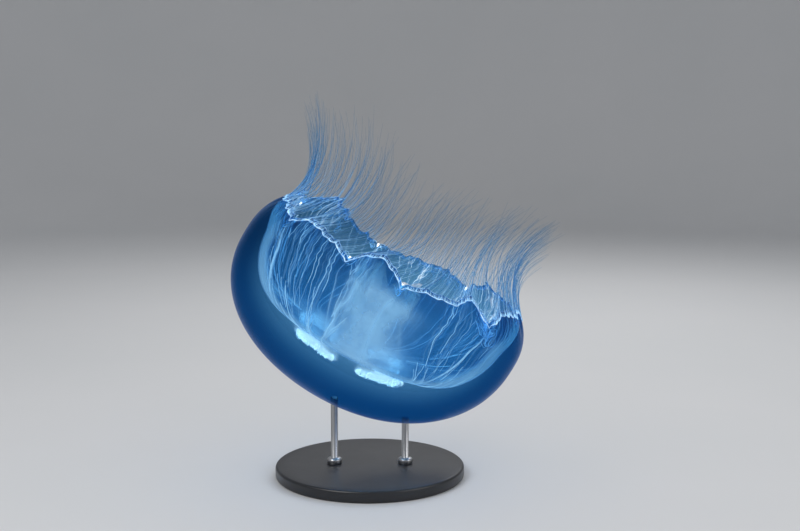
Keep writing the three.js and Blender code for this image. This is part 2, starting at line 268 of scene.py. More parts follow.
drawn_in, drawn_in_angle, drawn_in_spread = 0.0045, math.radians(182), math.radians(17)
margin_thickness = 0.0011
slit_depth, slit_width = 0.0020, 0.016  # the cut at each notch
dome_share = 0.66  # the widest place's share of the way to the edge
round_bell = 448  # points round the bell


def smooth(value, low, high):
    share = np.clip((value - low) / (high - low), 0, 1)
    return share * share * (3 - 2 * share)


def depth_at(face, radius):
    """The face's depth from the crown at a radius, on the crown's side of its widest place."""
    share, power = np.clip(radius / face["radius"], 0, 1), face["power"]
    return face["top"] + (face["widest"] - face["top"]) * (1 - (1 - share ** power) ** (1 / power))


def radius_at(face, depth):
    """The face's radius at a depth from the crown, on both sides of its widest place."""
    over = np.clip((depth - face["widest"]) / (face["end"] - face["widest"]), 0, None)
    under = np.clip(1 - (depth - face["top"]) / (face["widest"] - face["top"]), 0, 1)
    domed = face["radius"] * (1 - under ** face["power"]) ** (1 / face["power"])
    drawn = face["radius"] - (face["radius"] - face["end_radius"]) * over ** face["curl"]
    return np.where(depth < face["widest"], domed, drawn)


def in_room(radius, depth, angle):
    """Points in the room from a radius, a depth from the crown and an angle, which is 0 at the front."""
    rise = depth / dome_rim
    out = radius * (1 + np.sin(angle) * (width_lean[0] + (width_lean[1] - width_lean[0]) * rise))
    x, y = out * np.sin(angle), -out * np.cos(angle)
    x, y, depth = np.broadcast_arrays(x, y, depth)
    return np.stack([crown.x + x * math.cos(lean_over) + depth * math.sin(lean_over), crown.y + y,
                     crown.z - x * math.sin(lean_over) + depth * math.cos(lean_over)], -1)


def wander(angle, waves, seed, low_wave, high_wave):
    """A smooth uneven line round the bell, mostly between -1 and 1."""
    draw = np.random.default_rng(seed)
    turns, phases = draw.integers(low_wave, high_wave, waves), draw.uniform(0, 2 * math.pi, waves)
    return np.sin(np.multiply.outer(angle, turns) + phases).sum(-1) / math.sqrt(waves)


def margin_depth(angle):
    """How deep the bell's edge is at an angle: each lappet stands past the line between its notches."""
    turn = 2 * math.pi
    from_first = np.mod(angle - notches[0], turn)
    starts = notches - notches[0]
    index = np.clip(np.searchsorted(starts, from_first, side="right") - 1, 0, 7)
    widths = np.diff(np.append(starts, turn))
    share = (from_first - starts[index]) / widths[index]
    heights = np.pad(lappet_heights, ((0, 0), (1, 1)))
    part = np.clip((share * 4).astype(int), 0, 3)
    low, high = heights[index, part], heights[index, part + 1]
    rise = low + (high - low) * smooth(share * 4 - part, 0, 1)
    notch_line = notch_depths[index] + (notch_depths[(index + 1) % 8] - notch_depths[index]) * share
    to_notch = np.minimum(share, 1 - share) * widths[index]
    slit = slit_depth * np.exp(-((to_notch / slit_width) ** 2))
    far_dip = drawn_in * np.exp(-((np.mod(angle, turn) - drawn_in_angle) / drawn_in_spread) ** 2)
    at_back = 0.5 - 0.5 * np.cos(angle)
    uneven = (0.0004 + 0.0012 * at_back) * wander(angle, 5, 11, 20, 50)
    uneven = uneven + (0.0002 + 0.0008 * at_back) * wander(angle, 6, 12, 60, 120)
    return notch_line + rise - slit - far_dip + uneven * smooth(to_notch, 0.01, 0.06)


def frill(angle, depth, edge):
    """How far the thin edge waves in and out."""
    loose = smooth(depth, edge - 0.022, edge) * (0.75 - 0.25 * np.cos(angle))
    return loose * (0.0010 * wander(angle, 5, 21, 16, 40) + 0.0006 * wander(angle, 5, 22, 45, 110))


def bell_wall(angle, share, inside=0.0):
    """Radius and depth of points on the bell's wall: share is 0 at the crown and 1 at the edge, inside is
    0 on the outer face and 1 on the inner one."""
    edge = margin_depth(angle)
    turn = np.clip(share / dome_share, 0, 1) * math.pi / 2
    past = np.clip((share - dome_share) / (1 - dome_share), 0, 1)

    def along(face):
        radius = face["radius"] * np.sin(turn) ** (2 / face["power"])
        depth = face["top"] + (face["widest"] - face["top"]) * (1 - np.cos(turn) ** (2 / face["power"]))
        depth = np.where(share > dome_share, face["widest"] + (edge - face["widest"]) * past, depth)
        return np.where(share > dome_share, radius_at(face, depth), radius), depth

    outer_radius, outer_depth = along(outer_face)
    inner_radius, inner_depth = along(gastric_face)
    thin = smooth(inner_depth, dome_rim - 0.024, edge)
    thin_radius = radius_at(outer_face, inner_depth) - margin_thickness
    inner_radius = inner_radius + (thin_radius - inner_radius) * thin
    radius = outer_radius + (inner_radius - outer_radius) * inside
    depth = outer_depth + (inner_depth - outer_depth) * inside
    return radius + frill(angle, depth, edge), depth


angles = np.arange(round_bell) * 2 * math.pi / round_bell


def round_rows(shares, inside):
    rows = []
    for share, deep in zip(shares, inside):
        radius, depth = bell_wall(angles, np.full_like(angles, share), deep)
        rows.append(in_room(radius, depth, angles))
    return rows


def closed_rows(rows, first_pole, last_pole):
    """One closed skin over rings of points, with a pole at each end. Faces follow the rows' order."""
    count, ring = len(rows), len(rows[0])
    points = np.concatenate([*rows, [first_pole], [last_pole]])
    i = np.arange(ring)
    here = np.arange(count - 1)[:, None] * ring
    after = (i + 1) % ring
    faces = np.stack([here + i, here + after, here + ring + after, here + ring + i], -1)
    faces = faces.reshape(-1, 4).tolist()
    pole, end = count * ring, (count - 1) * ring
    faces = [(pole, (k + 1) % ring, k) for k in range(ring)][::-1] + faces
    faces += [(end + k, end + (k + 1) % ring, pole + 1) for k in range(ring)]
    return points, faces


outside_shares = np.linspace(0.0, 1.0, 101)[1:]
inside_shares = np.linspace(1.0, 0.0, 71)[:-1]
lip_shares = (0.3, 0.6, 0.85)  # rows across the edge's thickness
rows = round_rows(outside_shares, np.zeros(100)) + round_rows(np.ones(3), lip_shares)
rows += round_rows(inside_shares, np.ones(70))
bell_points, bell_faces = closed_rows(rows, in_room(0, 0.0, 0), in_room(0, gastric_face["top"], 0))
bell_thickness = np.concatenate([np.hypot(*np.subtract(
    bell_wall(angles, np.full_like(angles, share)), bell_wall(angles, np.full_like(angles, share), 1.0)))
    for share in [*outside_shares, *np.ones(3), *inside_shares]])

node, done = finish_material("outer_jelly")
clouds, swells = noise(node, 14.0, 4.0, 0.55), noise(node, 70.0, 1.0)
rim, thickness = facing_away(node), point_value(node, "thickness")
uneven_thickness = product(node, thickness, graded(node, clouds, 0.85, 1.12, 0.3, 0.7))
tint = graded(node, uneven_thickness, (0.20, 0.46, 0.71), (0.31, 0.57, 0.78), 0.001, 0.010)
deeper = graded(node, rim, (1.0, 1.0, 1.0), (0.21, 0.49, 0.68), 0.24, 0.62)
tint = node("Mix", {"data_type": "RGBA", "blend_type": "MULTIPLY"}, _0=1.0, _6=tint, _7=deeper).outputs[2]
clear = node("BsdfTransparent", Color=tint).outputs[0]
skin_colour = graded(node, thickness, (0.14, 0.38, 0.70), (0.05, 0.20, 0.42), 0.001, 0.013)
# painted highlight: towards the bell's outline the skin's colour turns a pale violet, a bright painted rim
# line
skin_with_painted_rim = node("Mix", {"data_type": "RGBA"}, _0=graded(node, rim, 0.0, 1.0, 0.78, 1.0), _6=skin_colour,
                _7=(0.34, 0.46, 0.86, 1)).outputs[2]
wet = node("BsdfPrincipled", Base_Color=skin_with_painted_rim, IOR=1.36,
           Roughness=graded(node, swells, 0.16, 0.26, 0.3, 0.7)).outputs[0]
cover = total(node, graded(node, rim, 0.03, 0.38, 0.66, 1.0),
              graded(node, thickness, 0.03, 0.0, 0.001, 0.009))
outer_jelly = done(node("MixShader", _0=cover, _1=clear, _2=wet).outputs[0])
node, done = finish_material("inner_jelly")
lit = point_value(node, "glow")
lit_here = product(node, graded(node, lit, 0.02, 0.34), graded(node, facing_away(node), 1.0, 0.0, 0.0, 0.9))
lit_colour = graded(node, lit, (0.2, 0.45, 0.75), (0.70, 0.85, 0.95))
clear_colour = graded(node, noise(node, 30.0, 3.0), (0.93, 0.97, 0.99), (0.98, 0.99, 1.0))
inner_jelly = tissue(node, done, lit_here, clear_colour, lit_colour, lit_colour,
                     graded(node, lit, 0.0, 0.5), 0.3, IOR=1.33)
is_inside = [min(face) >= (len(outside_shares) + 1) * round_bell and max(face) != len(bell_points) - 2
             for face in bell_faces]
bell = mesh_piece("bell", bell_points, bell_faces, outer_jelly, inner_jelly, face_material=is_inside)
bell.visible_shadow = False


gonad_ring, gonad_place, gonad_cord, gonad_opening = 0.0165, 0.041, 0.0041, math.radians(70)
gonad_arc, gonad_rise = math.pi - gonad_opening / 2, 0.0054
gonad_angles = np.radians([45, 135, 225, 315])


def on_gonad(ring, turn):
    """A point of a gonad's ring: its radius, the inner face's depth there, its angle from the middle."""
    ahead, side = gonad_place + ring * np.cos(turn), ring * np.sin(turn)
    radius = np.hypot(ahead, side)
    return radius, depth_at(gastric_face, radius), np.arctan2(side, ahead)


def by_gonads(points, reach):
    """How near points are to a gonad, from 0 to 1."""
    near = np.zeros(len(points))
    radius, depth, aside = on_gonad(gonad_ring, np.linspace(-gonad_arc, gonad_arc, 40))
    for middle_angle in gonad_angles:
        cord = in_room(radius, depth + gonad_rise, middle_angle + aside)
        far = np.min(np.linalg.norm(points[:, None, :] - cord[None], axis=2), axis=1)
        near = np.maximum(near, np.exp(-(np.clip(far - gonad_cord, 0, None) / reach) ** 2))
    return near


crown_thickness = gastric_face["top"] - outer_face["top"]
hold(bell.data, "thickness", np.append(bell_thickness, [crown_thickness] * 2))
hold(bell.data, "glow", by_gonads(np.asarray(bell_points), 0.012))
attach(bell, "root")
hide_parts("bell_dome", *[f"lappet_{i}" for i in range(1, 9)])

# ---------------------------------------------------------------- lining and canals
# The subumbrella and the stomach's floor: a thin milky skin inside the dome. Fine canals run
# over it from the stomach to the margin, forking on the way, and eight stouter folds run up
# to the sense organs. They stand up from the skin like veins on a leaf, each in a milky streak.
stomach_height, stomach_radius, stomach_edge = 0.0104, 0.053, 0.098
lining_in, lining_thickness = 0.0010, 0.0016


def lining_wall(angle, share, sink=0.0):
    """Radius and depth of points on the lining's outer face, sunk towards the bell's axis."""
    radius, depth = bell_wall(angle, share, 1.0)
    close = 1 - smooth(share, 0.90, 1.0)  # the lining meets the jelly at the edge
    inwards = lining_in * close + sink
    flat = np.clip(1 - depth / gastric_face["widest"], 0, 1)
    depth = depth + inwards * flat + stomach_height * (1 - smooth(radius, stomach_radius, stomach_edge))
    return np.maximum(radius - inwards * (1 - flat), 0), depth


canal_draw = np.random.default_rng(5)
routes = []  # angles, shares, thickness and glow of each stretch of canal


def canal(angle_from, angle_to, share_from, share_to, thick, glow, bow=0.0):
    """One stretch of canal, which swings to another angle and runs on."""
    count = max(int((share_to - share_from) * 120), 8)
    shares = np.linspace(share_from, share_to, count)
    along = (shares - share_from) / (share_to - share_from)
    swing = smooth(along, 0.0, min(0.16 / (share_to - share_from), 1.0))
    angle = angle_from + (angle_to - angle_from) * swing + bow * np.sin(math.pi * along)
    angle = angle + 0.005 * np.sin(shares * 60 + angle_from * 40) * np.sin(math.pi * along)
    angle = angle + (fan_in * (fan_middle - angle) + fan_swirl) * (1 - smooth(shares, 0.16, 0.66))
    routes.append((angle, shares, np.full(count, thick), np.full(count, glow)))
    return angle[-1]


def forks(angle, share, spread, thick, level):
    """A canal that runs on for a way and forks, and whose arms do the same until the margin."""
    end = share + canal_draw.uniform(*fork_gaps)
    last = level == 0 or end > last_fork
    here = angle + canal_draw.uniform(-0.3, 0.3) * spread
    bow = canal_draw.uniform(-0.5, 0.5) * spread
    tip = canal(angle, here, share, canals_end if last else end, thick,
                0.25 + 0.8 * canal_draw.random() ** 2, bow)
    if not last:
        arm_end = min(end + fork_gaps[0], 0.95)
        for side in (-1, 1):
            arm_to = tip + side * spread * canal_draw.uniform(0.35, 0.6)
            arm = canal(tip, arm_to, end, arm_end, thick * 0.85, canal_draw.uniform(0.35, 0.9))
            forks(arm, arm_end, spread * 0.55, thick * 0.8, level - 1)


trunks, fan_in, fan_swirl, canals_end = 76, 0.58, math.radians(9), 0.985
fork_gaps, last_fork = (0.12, 0.30), 0.86
trunk_start, trunk_spread, trunk_radii = 0.22, 0.075, (0.0002, 0.00036)
for k in range(trunks):
    trunk_angle = (k + canal_draw.uniform(0.2, 0.8)) * 2 * math.pi / trunks
    fan_middle = (math.floor(trunk_angle / (math.pi / 2)) + 0.5) * math.pi / 2  # the canals start at a gonad
    forks(trunk_angle, trunk_start + canal_draw.uniform(0, 0.05), trunk_spread,
          canal_draw.uniform(*trunk_radii), int(canal_draw.integers(0, 3)))
fold_stoutness = (1.0, 0.25, 0.15, 0.8, 0.3, 0.3, 0.3, 0.5)  # stoutest at the two sides
fold_bows = (-0.09, 0, 0, 0, 0, 0, 0, 0)
for notch, stout, bow in zip(notches, fold_stoutness, fold_bows):  # the folds under the sense organs
    shares = np.linspace(0.24, 0.955, 90)
    belly = np.sin(math.pi * np.linspace(0, 1, 90)) ** 2
    angle = notch + 0.05 * np.sin(shares * 7 + notch * 3) * (1 - smooth(shares, 0.5, 1.0)) + bow * belly
    routes.append((angle, shares, 0.0003 + 0.0006 * stout * belly, 0.45 + 0.45 * stout * belly))

lining_shares = np.concatenate([np.linspace(0.0, 0.66, 84)[1:], np.linspace(0.66, 0.992, 64)[1:]])
milk, reach, mist = np.zeros((3, len(lining_shares), round_bell))
least_milk, stomach_milk, patch_milk, streak_milk, streak_width = 0.015, 0.19, 0.28, 0.18, 0.0012
rows = []
for row, share in enumerate(lining_shares):
    radius, depth = lining_wall(angles, np.full_like(angles, share))
    rows.append(in_room(radius, depth, angles))
    milk[row] = least_milk + stomach_milk * (1 - smooth(radius, 0.034, 0.104))
    # a milky patch between each two gonads, the one at the front the tallest
    at_front = (0.5 + 0.5 * np.cos(angles)) ** 3
    patch_top = 0.52 + 0.45 * at_front
    mist[row] = np.cos(2 * angles) ** 4 * smooth(radius, 0.045, 0.080) * (0.25 + 0.75 * at_front)
    mist[row] *= 1 - smooth(share, 0.74 * patch_top, patch_top)
    milk[row] += patch_milk * mist[row]
    reach[row] = smooth(radius, 0.066, 0.104) * (1 - 0.85 * smooth(share, 0.84, 0.95))
lining_radius = np.array([lining_wall(angles, np.full_like(angles, share))[0].mean()
                          for share in lining_shares])
for angle, shares, thick, glow in routes:  # a milky streak along each canal
    on = np.flatnonzero((lining_shares >= shares[0]) & (lining_shares <= shares[-1]))
    middle = np.interp(lining_shares[on], shares, angle)
    strength = np.interp(lining_shares[on], shares, streak_milk * glow)
    wide = streak_width + 1.3 * np.interp(lining_shares[on], shares, thick)
    off = np.mod(angles - middle[:, None] + math.pi, 2 * math.pi) - math.pi
    ends = np.sin(math.pi * (lining_shares[on] - shares[0]) / (shares[-1] - shares[0])) ** 0.5
    streak = np.exp(-((off * lining_radius[on, None] / wide[:, None]) ** 2))
    milk[on] += (strength * ends)[:, None] * streak
inner_rows = [in_room(*lining_wall(angles, np.full_like(angles, share), lining_thickness), angles)
              for share in lining_shares[::-4]]
pole_depth = gastric_face["top"] + lining_in + stomach_height
lining_points, lining_faces = closed_rows(
    rows + inner_rows, in_room(0, pole_depth, 0), in_room(0, pole_depth + lining_thickness, 0))

node, done = finish_material("milky_lining")
lit, limb, wisps = point_value(node, "glow"), facing_away(node), noise(node, 38.0, 5.0, 0.6)
amount = product(node, point_value(node, "milk"), graded(node, wisps, 0.75, 1.2, 0.3, 0.7))
limb_here = product(node, graded(node, limb, 0.0, 0.76, 0.56, 0.86), point_value(node, "reach"))
limb_here = product(node, limb_here, graded(node, limb, 1.0, 0.12, 0.74, 1.0))
amount = total(node, total(node, amount, limb_here), graded(node, lit, 0.0, 0.09))
milky_lining = tissue(
    node, done, amount, graded(node, lit, (0.69, 0.86, 0.945), (0.86, 0.92, 0.96), 0.0, 0.8),
    graded(node, amount, (0.08, 0.28, 0.52), (0.60, 0.64, 0.68), 0.05, 0.42),
    graded(node, amount, (0.11, 0.38, 0.70), (0.96, 0.97, 1.0), 0.05, 0.42),
    graded(node, lit, 0.42, 0.62), 0.35)
lining = mesh_piece("lining", lining_points, lining_faces, milky_lining)


def both_faces(values):
    """The outer face's values, given to the inner face's rows and the two poles as well."""
    return np.append(np.concatenate([values.ravel(), values[::-4].ravel()]), values[0, :2])


lining_glow = np.maximum(by_gonads(np.asarray(lining_points), 0.018), 0.85 * both_faces(mist))
hold(lining.data, "milk", np.clip(both_faces(milk), 0, 1))
hold(lining.data, "reach", both_faces(reach))
hold(lining.data, "glow", lining_glow)
lining.visible_shadow = False
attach(lining, "root")
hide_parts("bell_lining")


def thread_tree():
    """Makes round threads along lines, as thick as each point's own radius."""
    tree = bpy.data.node_groups.new("threads", "GeometryNodeTree")

    def socket(name, kind, in_out="INPUT"):
        return tree.interface.new_socket(name, in_out=in_out, socket_type="NodeSocket" + kind)

    socket("Geometry", "Geometry")
    sides, scale, paint = socket("Sides", "Int"), socket("Thickness", "Float"), socket("Material", "Material")
    socket("Geometry", "Geometry", "OUTPUT")

    def add(kind, **sets):
        made = tree.nodes.new(kind)
        for key, value in sets.items():
            setattr(made, key, value)
        return made

    given, result = add("NodeGroupInput"), add("NodeGroupOutput")
    line, radius = add("GeometryNodeMeshToCurve"), add("GeometryNodeInputNamedAttribute", data_type="FLOAT")
    radius.inputs["Name"].default_value = "thread_radius"
    ring = add("GeometryNodeCurvePrimitiveCircle")
    ring.inputs["Radius"].default_value = 1.0
    thick = add("ShaderNodeMath", operation="MULTIPLY")
    tube = add("GeometryNodeCurveToMesh")
    tube.inputs["Fill Caps"].default_value = True
    painted = add("GeometryNodeSetMaterial")
    chain = [tube, add("GeometryNodeSetShadeSmooth"), add("GeometryNodeRealizeInstances"), painted, result]
    join = tree.links.new
    join(given.outputs["Geometry"], line.inputs["Mesh"])
    join(line.outputs[0], tube.inputs["Curve"])
    join(given.outputs["Sides"], ring.inputs["Resolution"])
    join(ring.outputs[0], tube.inputs["Profile Curve"])
    join(radius.outputs["Attribute"], thick.inputs[0])
    join(given.outputs["Thickness"], thick.inputs[1])
    join(thick.outputs[0], tube.inputs["Scale"])
    join(given.outputs["Material"], painted.inputs["Material"])
    for one, following in zip(chain, chain[1:]):
        join(one.outputs[0], following.inputs["Geometry"])
    return tree, sides.identifier, scale.identifier, paint.identifier


threads, sides_input, thickness_input, material_input = thread_tree()


def threads_piece(name, lines, radii, glows, sides, material):
    """A mesh of threads along lists of points, with a radius and a glow at each point."""
    points = np.concatenate(lines)
    edges, start = [], 0
    for line in lines:
        edges += [(k, k + 1) for k in range(start, start + len(line) - 1)]
        start += len(line)
    mesh = bpy.data.meshes.new(name)
    mesh.from_pydata(points.tolist(), edges, [])
    hold(mesh, "thread_radius", np.concatenate(radii))
    hold(mesh, "glow", np.concatenate(glows))
    guide = bpy.data.objects.new(name + "_lines", mesh)
    scene.collection.objects.link(guide)
    grow = guide.modifiers.new("threads", "NODES")
    grow.node_group = threads
    grow[sides_input], grow[thickness_input], grow[material_input] = sides, 1.0, material
    made = bpy.data.meshes.new_from_object(guide.evaluated_get(bpy.context.evaluated_depsgraph_get()))
    bpy.data.objects.remove(guide)
    piece = bpy.data.objects.new(name, made)
    scene.collection.objects.link(piece)
    return piece


node, done = finish_material("canal_flesh")
glow_here = point_value(node, "glow")
canal_flesh = tissue(
    node, done, product(node, graded(node, glow_here, 0.20, 0.80, 0.2, 1.3),
                        graded(node, noise(node, 260.0, 3.0), 0.7, 1.1, 0.3, 0.7)),
    (0.90, 0.96, 0.99, 1), graded(node, glow_here, (0.40, 0.48, 0.56), (0.58, 0.58, 0.58), 0.2, 1.2),
    graded(node, glow_here, (0.72, 0.84, 0.96), (1.0, 0.97, 0.96), 0.2, 1.2),
    graded(node, glow_here, 0.50, 1.0, 0.2, 1.4), 0.4)
canal_lines = [in_room(*lining_wall(angle, shares), angle) for angle, shares, _, _ in routes]
canal_radii, canal_glows = [route[2] for route in routes], [route[3] for route in routes]
canals = threads_piece("canals", canal_lines, canal_radii, canal_glows, 6, canal_flesh)
canals.visible_shadow = False
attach(canals, "root")

# ---------------------------------------------------------------- gonads
# Four horseshoes of dense, whitish, tightly folded tissue that lie in the stomach with their
# openings towards the axis, each in a pouch of three thin skins that blurs it. They are the
# brightest thing in the body, for gonads and pouches glow with painted light.
along_gonad, round_gonad, gonad_half_height = 300, 28, 0.0045
pouch_step, round_pouch, pouch_arc = 5, 20, 1.08 * gonad_arc
flatter = 0.6  # a pouch's height on the crown's side, as a share of the other's
node, done = finish_material("folded_gonad")
folds_and_crease_shade = noise(node, 300.0, 4.0)
creases = node("Bump", Strength=0.35, Distance=0.0006, Height=folds_and_crease_shade).outputs[0]
# painted shade: the colour and the glow are darker and warmer where the fold noise is low, in the creases
# between the folds
glow_colour = graded(node, folds_and_crease_shade, (0.86, 0.74, 0.64), (1.0, 0.94, 0.84), 0.32, 0.60)
gonad_colour_with_crease_shade = graded(node, folds_and_crease_shade, (0.42, 0.37, 0.33), (0.60, 0.57, 0.52), 0.32, 0.60)
folded_gonad = tissue(node, done, graded(node, facing_away(node), 0.92, 0.0, 0.0, 0.50), (0.90, 0.96, 1.0, 1),
                      gonad_colour_with_crease_shade, glow_colour, 1.8, 0.55, IOR=1.5, Normal=creases)
node, done = finish_material("pouch_tissue")
wisps = noise(node, 120.0, 5.0, 0.6)
amount = product(node, graded(node, facing_away(node), 1.0, 0.0, 0.0, 0.85), point_value(node, "dense"))
# painted light: the pouch skins glow faintly too
pouch_tissue = tissue(
    node, done, product(node, amount, graded(node, wisps, 0.7, 1.3, 0.3, 0.7)), (0.96, 0.985, 1.0, 1),
    graded(node, wisps, (0.40, 0.39, 0.38), (0.52, 0.50, 0.48), 0.3, 0.7),
    graded(node, wisps, (0.88, 0.84, 0.80), (1.0, 0.95, 0.90), 0.3, 0.7), 1.02, 0.5)
# each skin's width and height over the cord, its rise, and how dense it is
pouch_skins = ((1.18, 1.18, 0.0, 0.55), (1.5, 1.5, 0.0005, 0.34), (2.0, 2.0, 0.0014, 0.17))
for index, middle_angle in enumerate(gonad_angles):
    share = np.linspace(0, 1, along_gonad)[:, None]
    round_cord = np.arange(round_gonad)[None, :] * 2 * math.pi / round_gonad
    swell = np.sqrt(np.clip(1 - np.abs(2 * share - 1) ** 6, 0, 1))
    turn = gonad_arc * (2 * share - 1)
    folding = 0.4 * np.sin(share * 2 * math.pi * 21 + 1.3 * np.sin(round_cord + share * 9) + index)
    lumps = 0.10 * np.sin(share * 2 * math.pi * 6 + 2 * index)
    lumps = lumps + 0.03 * np.sin(share * 2 * math.pi * 47 + 2 * round_cord)
    cord = gonad_cord * swell * (0.92 + 0.14 * folding + lumps)
    weave = 1 + 0.12 * np.sin(5 * 2 * math.pi * share) + 0.03 * np.sin(13 * 2 * math.pi * share + index)
    ring = gonad_ring * weave + cord * np.cos(round_cord)
    radius, depth, aside = on_gonad(ring, turn)
    height = np.minimum(cord, gonad_half_height) * np.sin(round_cord)
    rows = in_room(radius, depth + gonad_rise + height, middle_angle + aside)
    gonad_points, gonad_faces = closed_rows(list(rows), rows[0].mean(0), rows[-1].mean(0))
    gonad = mesh_piece(f"gonad_horseshoe_{index + 1}", gonad_points, gonad_faces, folded_gonad)
    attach(gonad, "root")
    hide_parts(f"gonad_{index + 1}")
    pouch_points, pouch_faces, density = [], [], []
    for wider, taller, rise, dense_here in pouch_skins:
        cord = gonad_cord * swell[::pouch_step] * np.ones((1, round_pouch))
        around = np.arange(round_pouch)[None, :] * 2 * math.pi / round_pouch
        ring = gonad_ring + wider * cord * np.cos(around)
        radius, depth, aside = on_gonad(ring, pouch_arc * (2 * share[::pouch_step] - 1))
        height = taller * cord * np.sin(around) * np.where(np.sin(around) > 0, 1, flatter)
        skin = in_room(radius, depth + gonad_rise + rise + height, middle_angle + aside)
        skin, skin_faces = closed_rows(list(skin), skin[0].mean(0), skin[-1].mean(0))
        pouch_faces += [tuple(corner + sum(map(len, pouch_points)) for corner in face) for face in skin_faces]
        pouch_points.append(skin)
        density += [dense_here] * len(skin)
    pouch = mesh_piece(f"gonad_pouch_{index + 1}", np.concatenate(pouch_points), pouch_faces, pouch_tissue)
    hold(pouch.data, "dense", density)
    pouch.visible_shadow = False
    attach(pouch, "root")

# ---------------------------------------------------------------- mouth and oral arms
# The mouth is a short four-cornered tube whose corners are drawn out into four arms: thin
# gutters of milky tissue with crowded frills along both edges, in one skin from root to tips.
# A second, looser skin makes the thin curtains that hang from the arms' edges.
mouth_root_radius, mouth_lip_radius, mouth_length = 0.017, 0.011, 0.015
lips_depth = gastric_face["top"] + stomach_height + 0.0032 + mouth_length
mouth_root_depth = gastric_face["top"] + stomach_height + 0.0042
arm_reach, arm_twist, arm_thickness = 0.062, math.radians(24), 0.0009
mouth_share = 0.22  # of the skin's length, the rest is the arms
arm_bends = np.array([(0.0095, 0.0), (0.013, 0.015), (0.020, 0.032), (0.026, 0.048), (0.027, 0.062)])


def arm_skin(across, along_count, sink, wide, ruffled_by, turn_waves):
    """The skin of the mouth and its four arms as one sheet of points, sunk by a distance. It can be made
    wider and more ruffled, as in the thin curtains."""
    corner = np.arange(4 * across) // across
    w = (np.arange(4 * across) % across + 0.5) / across * 2 - 1
    rows = []
    for v in np.linspace(0, 1, along_count):
        tube = min(v / mouth_share, 1.0)
        reach = (1 - np.abs(w) ** 3.2) * np.clip((v - mouth_share) / (1 - mouth_share), 0, 1)
        along = reach * arm_reach
        radius_mid = np.interp(along, arm_bends[:, 1], arm_bends[:, 0])
        half = wide * (0.0098 + 0.0012 * np.sin(reach * math.pi)) * (1 - 0.40 * reach)
        ruffled = smooth(reach, 0.02, 0.35) * np.abs(w) ** 1.5 + 0.35 * smooth(reach, 0.05, 0.5)
        edge_run = v * turn_waves + 9 * w
        ruffle = 0.0024 * np.sin(edge_run + corner * 2.1) + 0.0013 * np.sin(2.7 * edge_run + corner)
        ruffle = ruffled_by * ruffled * (ruffle + 0.0006 * np.sin(6.1 * edge_run + 1.7 * corner))
        tube_radius = (mouth_root_radius + (mouth_lip_radius - mouth_root_radius) * tube ** 0.6)
        tube_angle = corner * math.pi / 2 + w * math.pi / 4
        tube_out = tube_radius * (1 + 0.16 * np.cos(4 * tube_angle))
        tube_depth = mouth_root_depth + tube * (lips_depth - mouth_root_depth)
        gutter = 0.0042 * np.abs(w) ** 1.6 * (1 - 0.4 * reach)
        out = radius_mid + 0.0012 - gutter + ruffle - sink
        aside = half * w + 0.35 * ruffle * np.sign(w)
        turned_by = corner * math.pi / 2 + arm_twist * reach ** 1.5
        x = out * np.sin(turned_by) + aside * np.cos(turned_by)
        y = -out * np.cos(turned_by) + aside * np.sin(turned_by)
        tube_x, tube_y = (tube_out - sink) * np.sin(tube_angle), -(tube_out - sink) * np.cos(tube_angle)
        blend = smooth(v, 0.16, 0.30)
        x, y = tube_x + (x - tube_x) * blend, tube_y + (y - tube_y) * blend
        depth = tube_depth + along + 0.3 * ruffle
        rows.append(in_room(np.hypot(x, y), depth, np.arctan2(x, -y)))
    return rows


def sleeve(name, rows, material):
    """A closed sheet from rows of its outer skin followed by the rows of its inner one, open at both ends."""
    count, ring = len(rows), len(rows[0])
    i, j = np.arange(ring), np.arange(count)[:, None]
    faces = np.stack([j * ring + i, j * ring + (i + 1) % ring, (j + 1) % count * ring + (i + 1) % ring,
                      (j + 1) % count * ring + i], -1).reshape(-1, 4)
    return mesh_piece(name, np.concatenate(rows), faces, material)


def frill_material(name, scale, thinnest, thickest):
    """Milky tissue with uneven wisps in it, which lets more light through at its edges and glows faintly with
    painted light.
    """
    node, done = finish_material(name)
    wisps = noise(node, scale, 6.0, 0.6)
    amount = product(node, graded(node, wisps, thinnest, thickest, 0.30, 0.70),
                     graded(node, facing_away(node), 1.0, 0.0, 0.0, 0.95))
    return tissue(node, done, amount, (0.93, 0.97, 0.99, 1),
                  graded(node, wisps, (0.36, 0.34, 0.34), (0.50, 0.48, 0.47), 0.3, 0.7),
                  graded(node, wisps, (0.92, 0.83, 0.78), (1.0, 0.91, 0.86), 0.3, 0.7), 0.60, 0.4)


arm_grid, arm_shape = (80, 100), (1.0, 1.0, 46)
arm_rows = arm_skin(*arm_grid, 0.0, *arm_shape) + arm_skin(*arm_grid, arm_thickness, *arm_shape)[::-1]
arms = sleeve("mouth_and_arms", arm_rows, frill_material("milky_frill", 60.0, 0.05, 0.34))
curtain_grid, curtain_shape, curtain_faces = (64, 70), (2.1, 1.7, 31), (0.0006, 0.0012)
curtain_rows = [arm_skin(*curtain_grid, sink, *curtain_shape) for sink in curtain_faces]
curtains = sleeve("arm_curtains", curtain_rows[0] + curtain_rows[1][::-1],
                  frill_material("thin_curtain", 34.0, 0.03, 0.27))
arms.visible_shadow = curtains.visible_shadow = False
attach(arms, "root")
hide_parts("mouth", *[f"oral_arm_{i}" for i in range(1, 5)])
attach(curtains, "root")

# ---------------------------------------------------------------- margin
# Two bright cords run round the bell's edge: one along the very edge and one a few millimetres
# up, where the tentacles root. Loose tissue curls inside the edge, by the notches and at the
# back, and a small white sense organ hangs in each notch.
root_back = 0.0027  # how far up from the edge the tentacles root
margin_angles = np.linspace(0, 2 * math.pi, 1201)


def near_edge(angle, back, off=0.0):
    """Points a distance back from the edge on the bell's outer face, held off it by a distance."""
    edge_here = margin_depth(angle)
    depth = edge_here - back
    return in_room(radius_at(outer_face, depth) + frill(angle, depth, edge_here) + off, depth, angle)


